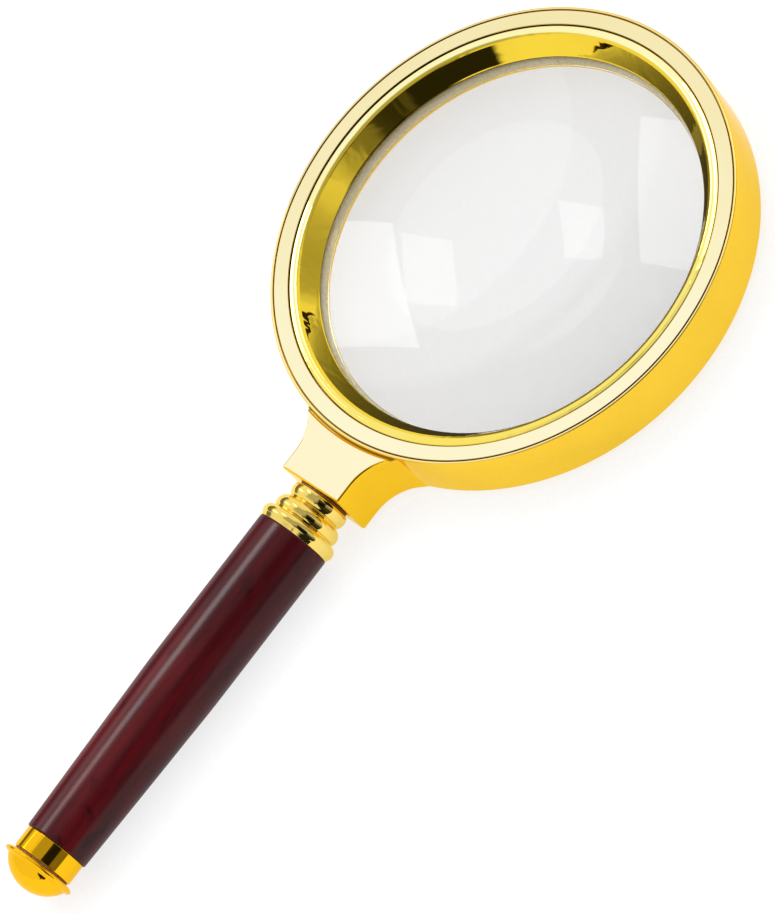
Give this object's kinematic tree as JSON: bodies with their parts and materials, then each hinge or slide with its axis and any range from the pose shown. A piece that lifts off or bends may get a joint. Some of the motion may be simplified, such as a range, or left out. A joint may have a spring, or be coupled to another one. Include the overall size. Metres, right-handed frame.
{
  "type": "magnifying glass",
  "caption": "Hand magnifier: round polished metal rim with a clear biconvex lens, flared neck block, beaded ferrule, turned lacquered grip and domed end cap.",
  "frame": {"origin": "under the middle of the whole object, at its lowest point, the ferrule's last bead", "axes": "+Z out of the front of the lens, +Y from the handle to the lens, +X completes a right-handed frame"},
  "size_m": [0.109, 0.225, 0.0181],
  "materials": {
    "rim_plate": "light alloy, mirror-polished and gold plated",
    "gold_plate": "mirror-polished gold plating",
    "lens_glass": "clear, polished",
    "soft_ring": "cream coloured, matt",
    "slip_washer": "matt",
    "zinc_steel": "zinc plated",
    "grip_lacquer": "dark red-brown wood under thick gloss lacquer"
  },
  "bodies": {
    "rim": {"rim_ring": "rim_plate", "neck_block": "rim_plate", "face_ring": "rim_plate", "lens": "lens_glass", "lens_seat_ring": "soft_ring", "neck_insert": "zinc_steel"},
    "lens_slip": {"lens_washer": "slip_washer"},
    "retainer": {"retaining_ring": "rim_plate"},
    "neck_slip": {"neck_washer": "slip_washer"},
    "handle": {"ferrule": "gold_plate", "tie_rod": "zinc_steel", "ferrule_nut": "zinc_steel", "grip": "grip_lacquer", "end_collar": "gold_plate", "rod_washer": "zinc_steel", "spring_washer": "zinc_steel", "rod_nut": "zinc_steel"},
    "cap_slip": {"cap_washer": "slip_washer"},
    "cap": {"end_cap": "gold_plate"}
  },
  "joints": [
    {"name": "retainer_out", "type": "slide", "parent": "rim", "child": "lens_slip", "axis": [0, 0, 1], "range_m": [0, 0.003]},
    {"name": "retainer_turn", "type": "hinge", "parent": "lens_slip", "child": "retainer", "pos_m": [0, 0.05805, 0.01628], "axis": [0, 0, 1], "range_deg": [0, 1440]},
    {"name": "handle_out", "type": "slide", "parent": "rim", "child": "neck_slip", "axis": [0, -1, 0], "range_m": [0, 0.0076]},
    {"name": "handle_turn", "type": "hinge", "parent": "neck_slip", "child": "handle", "pos_m": [0, -0.00885, 0.00903], "axis": [0, -1, 0], "range_deg": [0, 3420]},
    {"name": "cap_out", "type": "slide", "parent": "handle", "child": "cap_slip", "axis": [0, -1, 0], "range_m": [0, 0.0032]},
    {"name": "cap_turn", "type": "hinge", "parent": "cap_slip", "child": "cap", "pos_m": [0, -0.10625, 0.00903], "axis": [0, -1, 0], "range_deg": [0, 1440]}
  ],
  "couplings": [
    {"joint": "retainer_turn", "follows": "retainer_out", "rad_per_m": 8377.6},
    {"joint": "handle_turn", "follows": "handle_out", "rad_per_m": 7854},
    {"joint": "cap_turn", "follows": "cap_out", "rad_per_m": 7854}
  ]
}
